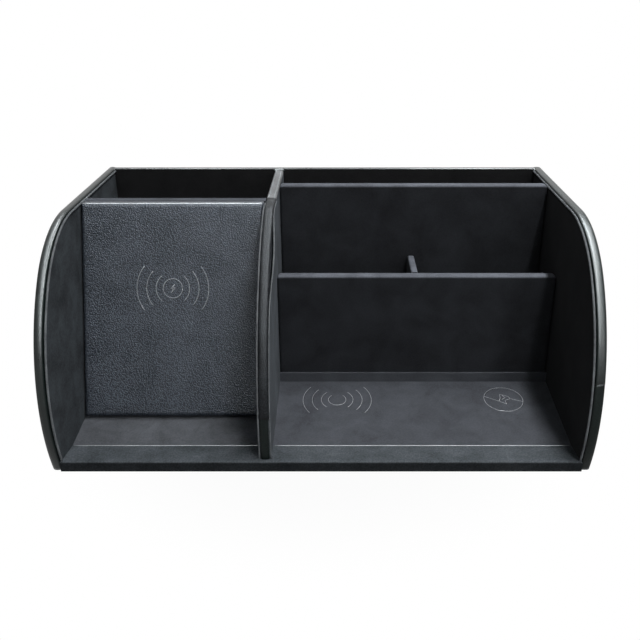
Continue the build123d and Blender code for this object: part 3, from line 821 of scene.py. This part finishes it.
# %% [markdown]
# ## Hems and folds of the centre divider
# Seen from the front, the turned suede shows as a thin line on each side of the band, laid in the
# pale hem suede as a painted highlight. The right one rides on the loose edge. In the divider's top
# strip the leather is folded in along both sides, which leaves two fine lines, coloured pale as
# painted highlights.

# %% Centre hems and folds
for name, hem_x, hem_size, offs in (
        ("centre_left_hem", rib_low.x - 0.25 * mm, 0.6 * mm, [0.0] * len(rim)),
        ("centre_right_hem", rib_high.x + 0.15 * mm, 0.5 * mm, stand_off)):
    path = [Vector((hem_x + off, y, z)) for (y, z), off in zip(rim, offs)]
    sweep(name, path, round_section(hem_size), hem_highlight_suede, Vector((1, 0, 0)), "suede_lining")
fold_start, fold_z, fold_steps = rib_low.y + mm, rib_high.z - 0.12 * mm, 20
for number, fold_x in enumerate((rib_low.x + 1.4 * mm, rib_high.x - 1.6 * mm)):
    path = straight((fold_x, fold_start, fold_z), (fold_x, rib_end, fold_z), fold_steps)
    sweep(f"centre_top_fold_{number}", path, round_section(fold_radius), fold_highlight, to_the_top,
          "leather_black")
print("centre hems end at y", round(rib_low.y, 4))


# %% [markdown]
# ## The charging pad
# The backrest pad is leather over a thin layer of foam, so it has no hard edge: the front is a
# little crowned, its edges roll back, and the leather bunches into a small crease at each upper
# corner. First comes the relief of its face, as a height at every place, because the pressed mark
# has to follow it too.

# %% Places on the pad
pad_low, pad_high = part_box("phone_pad_cover")
pad_centre = Vector(mounts["backrest_pad"]["pos_m"])
pad_right = Vector((1, 0, 0))
pad_up = pad_normal.cross(pad_right).normalized()
pad_depth, pad_foot, crown = 6.9 * mm, -88.5 * mm, 0.45 * mm
pad_half = (pad_high.x - pad_low.x) / 2
pad_top = (pad_high.z - pad_centre.z) / pad_up.z
pad_height = pad_top - pad_foot
crease_lengths = {-1: 17 * mm, 1: 11 * mm}
crease_depth, crease_width = 0.22 * mm, 0.9 * mm
ridge_height, ridge_width, ridge_off = 0.1 * mm, 1.1 * mm, 1.6 * mm


def pad_relief(across, along):
    """How far the leather stands proud of the flat face at a place on it."""
    side = min(1.0, abs(across) / pad_half)
    end = min(1.0, abs(2 * (along - pad_foot) / pad_height - 1))
    relief = crown * (1 - side ** 4) * (1 - end ** 6)
    for sign, length in crease_lengths.items():
        dx, dz = pad_half - sign * across, pad_top - along
        off, out = (dx - dz) / math.sqrt(2), (dx + dz) / math.sqrt(2)
        if 0 < out < length:
            fade = 1 - out / length
            relief -= crease_depth * math.exp(-(off / crease_width) ** 2) * fade
            relief += ridge_height * math.exp(-((off - ridge_off) / ridge_width) ** 2) * fade
    return relief


def pad_point(across, along, rise):
    return pad_centre + pad_right * across + pad_up * along + pad_normal * rise


print("pad:", round(2 * pad_half / mm, 1), "by", round(pad_height / mm, 1), "mm")


# %% [markdown]
# ## Softening a box into a pad
# A box with rolled edges is cut into a fine grid, and each point is then moved by the relief. That
# keeps the mesh even and closed. The back of the box leans with the pad, so that its top stays
# level and its foot follows the floor.

# %% Cut a box into a grid and soften it
front_roll, rear_roll, grid_step, foot_lean = 2.3 * mm, 0.7 * mm, 1.3 * mm, 0.2


def cut_grid(shape, axis, start, end, step):
    normal = Vector((0, 0, 0))
    normal[axis] = 1
    count = max(1, round((end - start) / step))
    for i in range(1, count):
        place = Vector((0, 0, 0))
        place[axis] = start + (end - start) * i / count
        every = shape.verts[:] + shape.edges[:] + shape.faces[:]
        bmesh.ops.bisect_plane(shape, geom=every, plane_co=place, plane_no=normal, dist=1e-7)


def roll_edges(shape, low, high, radius, segments):
    """Rounds the edges that lie wholly between two levels of the box."""
    edges = [edge for edge in shape.edges if all(low < v.co.z < high for v in edge.verts)]
    bmesh.ops.bevel(shape, geom=edges, offset=radius, segments=segments, profile=0.5,
                    affect="EDGES")


pad_shape = bmesh.new()
bmesh.ops.create_cube(pad_shape, size=1)
for corner in pad_shape.verts:
    corner.co = (corner.co.x * 2 * pad_half, corner.co.y * pad_height + pad_foot + pad_height / 2,
                 (corner.co.z - 0.5) * pad_depth)
roll_edges(pad_shape, -mm, mm, front_roll, 5)
roll_edges(pad_shape, -pad_depth - mm, -pad_depth + mm, rear_roll, 2)
cut_grid(pad_shape, 0, -pad_half, pad_half, grid_step)
cut_grid(pad_shape, 1, pad_foot, pad_top, grid_step)
for vertex in pad_shape.verts:
    across, along, rise = vertex.co
    height_share = (along - pad_foot) / pad_height
    lean_shift = -rise * pad_normal.z / pad_up.z * height_share
    foot_shift = rise * foot_lean * (1 - height_share)
    lifted = rise + pad_relief(across, along) * max(0.0, 1 + rise / front_roll)
    vertex.co = pad_point(across, along + lean_shift + foot_shift, lifted)
bmesh.ops.recalc_face_normals(pad_shape, faces=pad_shape.faces)
for face in pad_shape.faces:
    face.smooth = True
phone_pad = make_piece("phone_pad_leather", pad_shape, pad_leather, "leather_charcoal")
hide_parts("phone_pad_cover")
print("pad mesh:", len(phone_pad.data.vertices), "points")


# %% [markdown]
# ## The welt along the pad's top
# The pad's leather ends on top in a thin folded edge. It lies level right under the long lamp and
# is the brightest line of the whole object, so its leather is coloured nearly white: a painted
# highlight.

# %% Pad welt
welt_highlight_leather = leather("welt_highlight_leather", (184, 189, 194), (216, 221, 226), relief=0.02 * mm,
                       glossy=0.35, dull=0.45, shine=0.4, pebble=0.8 * mm)
welt_radius, welt_steps, welt_back, welt_sink = 0.55 * mm, 40, 1.5 * mm, 0.3 * mm
welt_y, welt_z = pad_point(0, pad_top, 0).y + welt_back, pad_high.z - welt_sink
path = straight((pad_low.x + mm, welt_y, welt_z), (pad_high.x - mm, welt_y, welt_z), welt_steps)
sweep("pad_welt", path, round_section(welt_radius), welt_highlight_leather, to_the_top,
      "leather_charcoal")
print("welt:", round((path[-1] - path[0]).length / mm, 1), "mm long")


# %% [markdown]
# ## Marks over the coils
# A heated die presses a mark over each coil, to say where a phone or an earbud case goes: spreading
# waves for a phone, and a ring with a lightning bolt. They are generic signs, drawn flat and in
# millimetres, and then laid onto the pad or the deck.

# %% Draw the marks flat
def arc(radius, start, end, steps=24):
    turn = [math.radians(start + (end - start) * i / steps) for i in range(steps + 1)]
    return [(radius * math.cos(t), radius * math.sin(t)) for t in turn]


def waves(radii, heights):
    lines = []
    for radius, height in zip(radii, heights):
        half = math.degrees(math.asin(height / radius))
        lines += [arc(radius, -half, half), arc(radius, 180 - half, 180 + half)]
    return lines


wave_heights = (8.5, 11.6, 15.0)
small_bolt = [(1.2, 2.7), (-1.5, -0.2), (0.2, -0.2), (-1.1, -2.9), (1.7, 0.4), (-0.1, 0.4),
              (1.2, 2.7)]
backrest_mark = waves((11.35, 17.8, 24.4), wave_heights) + [arc(6.6, 0, 360), small_bolt]
deck_mark = waves((11.3, 17.8, 24.4), wave_heights) + [arc(6.3, 130, 410)]
earbud_mark = [arc(13.8, 0, 360, 48), [(-13.4, 3.4), (-3.6, -2.2), (1.4, -5.6)],
               [(-3.2, -1.6), (-2.0, 1.4), (-1.7, 5.8), (3.9, 3.1), (5.0, 0.7), (13.5, -2.9)],
               [(1.4, -5.6), (0.9, -1.4), (5.0, 0.7)], [(0.0, 4.6), (1.5, 1.7), (-1.2, -0.2)]]
print("lines to press:", len(backrest_mark), len(deck_mark), len(earbud_mark))


# %% [markdown]
# ## Pressing the marks
# A pressed line is a dark groove with one lit edge, so each line is laid twice: thin and pale, a
# painted highlight, and beside it wider, lower and dark, painted shade. Long strokes are cut into
# short steps, so that they follow the crown of the pad.

# %% Press the marks into the leather
stroke_step, groove_shift = 1.2, 0.3
line_height, groove_height, press_depth = 0.06 * mm, 0.03 * mm, 0.12 * mm
pad_line, deck_line, groove_line = 0.36 * mm, 0.44 * mm, 0.5 * mm
mark_drop, mark_lift = 0.7 * mm, 0.01 * mm


def press_mark(name, lines, place, normal, section, finish, shift=0.0):
    for number, line in enumerate(lines):
        line = [(x + shift, y - shift) for x, y in line]
        path = []
        for (x1, y1), (x2, y2) in zip(line, line[1:]):
            steps = max(1, round(math.hypot(x2 - x1, y2 - y1) / stroke_step))
            path += [place(x1 + (x2 - x1) * i / steps, y1 + (y2 - y1) * i / steps)
                     for i in range(steps)]
        path.append(place(*line[-1]))
        sweep(f"{name}_{number}", path, section, finish, normal, "leather_charcoal")
    print(name, "has", len(lines), "lines")


def on_pad(x, y):
    across, along = x * mm, y * mm - mark_drop
    return pad_point(across, along, pad_relief(across, along) + mark_lift)


def on_deck(mount_name):
    centre = Vector(mounts[mount_name]["pos_m"])
    deck_up = deck_normal.cross(pad_right).normalized()

    def place(x, y):
        return centre + pad_right * x * mm + deck_up * y * mm + deck_normal * mark_lift
    return place


for name, lines, place, normal, width in (
        ("backrest_mark", backrest_mark, on_pad, pad_normal, pad_line),
        ("deck_mark", deck_mark, on_deck("deck_pad"), deck_normal, deck_line),
        ("earbud_mark", earbud_mark, on_deck("earbud_pad"), deck_normal, deck_line)):
    press_mark(name, lines, place, normal, line_section(width, line_height, press_depth),
               line_highlight)
    press_mark(name + "_groove", lines, place, normal,
               line_section(groove_line, groove_height, press_depth), line_shade, groove_shift)


# %% [markdown]
# ## The seam in the floor
# The leather of the lip and the suede of the floor meet in one straight line across both bays,
# which shows as a thin welt, coloured pale as a painted highlight. It stops just short of the
# uprights.

# %% Floor seams
floor_low, floor_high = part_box("left_floor")
deck_low, deck_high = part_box("deck_cover")
seam_gap, seam_step, seam_radius = 1.2 * mm, 3 * mm, 0.35 * mm
seam_y, seam_z = floor_low.y, deck_low.z + 0.6 * mm
for side, low, high in (("left", floor_low, floor_high), ("right", deck_low, deck_high)):
    start, end = low.x + seam_gap, high.x - seam_gap
    path = straight((start, seam_y, seam_z), (end, seam_y, seam_z),
                    round((end - start) / seam_step))
    sweep(side + "_floor_seam", path, round_section(seam_radius), fold_highlight, to_the_top,
          "leather_black")
print("floor seam at y", round(seam_y, 4), "z", round(seam_z, 4))


# %% [markdown]
# ## A plain pale stage
# The organizer stands on a pale sheet in white surroundings. The camera and mirror-like
# reflections see it mostly plain white, with only a share of its own shading, which keeps a faint
# soft shadow at the object's foot. Further out it is fully white. The sheet itself is a mid grey,
# so that it throws little light up onto the dark front.

# %% The white sheet
def looked_at(tree):
    """1 where the camera, a reflection or clear matter looks, 0 for light on its way elsewhere."""
    ray = add_node(tree, "LightPath")
    source, output = ray, "Is Camera Ray"
    for kind in ("Is Glossy Ray", "Is Transmission Ray"):
        either = add_node(tree, "Math", "MAXIMUM")
        join(tree, source, output, either, 0)
        join(tree, ray, kind, either, 1)
        source, output = either, "Value"
    return source


def mix_shaders(tree, amount, first, second, end):
    """Shows the first shader where the amount is 0 and the second where it is 1."""
    mixed = add_node(tree, "MixShader")
    for socket, node in enumerate((amount, first, second)):
        join(tree, node, 0, mixed, socket)
    join(tree, mixed, 0, tree.nodes[end], "Surface")


paper, paper_tree, paper_shader = new_finish("white_sheet")
paper_grey = 0.35
fill(paper_shader, Base_Color=(paper_grey, paper_grey, paper_grey, 1), Roughness=0.9,
     Specular_IOR_Level=0.0)
plain_white = add_node(paper_tree, "Emission", Color=(1, 1, 1, 1), Strength=1.0)
distance = add_node(paper_tree, "VectorMath", "LENGTH")
join(paper_tree, place_in_metres(paper_tree), "Object", distance, 0)
white_share = remap(paper_tree, distance, "Value", 0.1, 0.2, 0.95, 1.0)
amount = add_node(paper_tree, "Math", "MULTIPLY")
join(paper_tree, looked_at(paper_tree), "Value", amount, 0)
join(paper_tree, white_share, "Result", amount, 1)
mix_shaders(paper_tree, amount, paper_shader, plain_white, "Material Output")
print("sheet: grey", paper_grey, "to the lamps, white to the eye")

# %% Floor
floor_shape = bmesh.new()
bmesh.ops.create_grid(floor_shape, x_segments=24, y_segments=24, size=4.0)
floor = make_piece("stage_floor", floor_shape, paper)
print("floor of", len(floor.data.polygons), "faces")


# %% [markdown]
# ## White surroundings
# The world is white to the eye and to reflections as well, but gives only a weak, slightly cool
# light, so that the dark leather is not washed out.

# %% World
world = bpy.data.worlds.new("studio")
world.use_nodes = True
scene.world = world
sky = world.node_tree
around = sky.nodes["Background"]
fill(around, Color=(0.9, 0.95, 1.0, 1), Strength=0.08)
white = add_node(sky, "Background", Color=(1, 1, 1, 1), Strength=1.0)
mix_shaders(sky, looked_at(sky), around, white, "World Output")
print("world strength:", round(around.inputs["Strength"].default_value, 3))


# %% [markdown]
# ## Soft studio light
# The photograph has one long narrow light overhead, a little right of the object: up-facing edges
# and the bows of the bands are bright, faces that look forward are dark, and the right wall throws
# a narrow shadow. A weak panel stands in front at the right. Two more overhead strips, one above
# each half and reaching far to the front, draw the long highlights on the padded bows. They show
# in reflections only, so they add no light to the suede.

# %% Lamps
lamp_height, lean = 1.2, 0.01


def softbox(name, place, target, width, length, power, tint=(1, 1, 1)):
    lamp = bpy.data.lights.new(name, "AREA")
    lamp.shape, lamp.size, lamp.size_y = "RECTANGLE", width, length
    lamp.energy, lamp.color = power, tint
    holder = bpy.data.objects.new(name, lamp)
    holder.location = place
    holder.rotation_euler = (Vector(target) - Vector(place)).to_track_quat("-Z", "Y").to_euler()
    scene.collection.objects.link(holder)
    print(name, "power", power, "W")
    return holder


def overhead_strip(name, x, y, width, length, power, **options):
    """Looks straight down. The tiny lean to the back keeps its long side from front to back."""
    return softbox(name, (x, y, lamp_height), (x, y + lean, 0.0), width, length, power, **options)


overhead_strip("top_strip", 0.3, -0.3, 0.06, 1.4, 15.5)
softbox("right_panel", (0.64, -1.25, 0.7), (0.0, 0.0, 0.08), 0.14, 0.9, 5.0)
for side, x, width, power in (("left", -0.3, 0.2, 115.0), ("right", 0.32, 0.3, 200.0)):
    card = overhead_strip(side + "_bow_gloss", x, -1.3, width, 4.5, power, tint=(0.92, 0.97, 1.0))
    card.visible_diffuse = False


# %% [markdown]
# ## The view transform
# The picture is shown with the standard view transform.

# %% View transform
scene.view_settings.view_transform = "Standard"
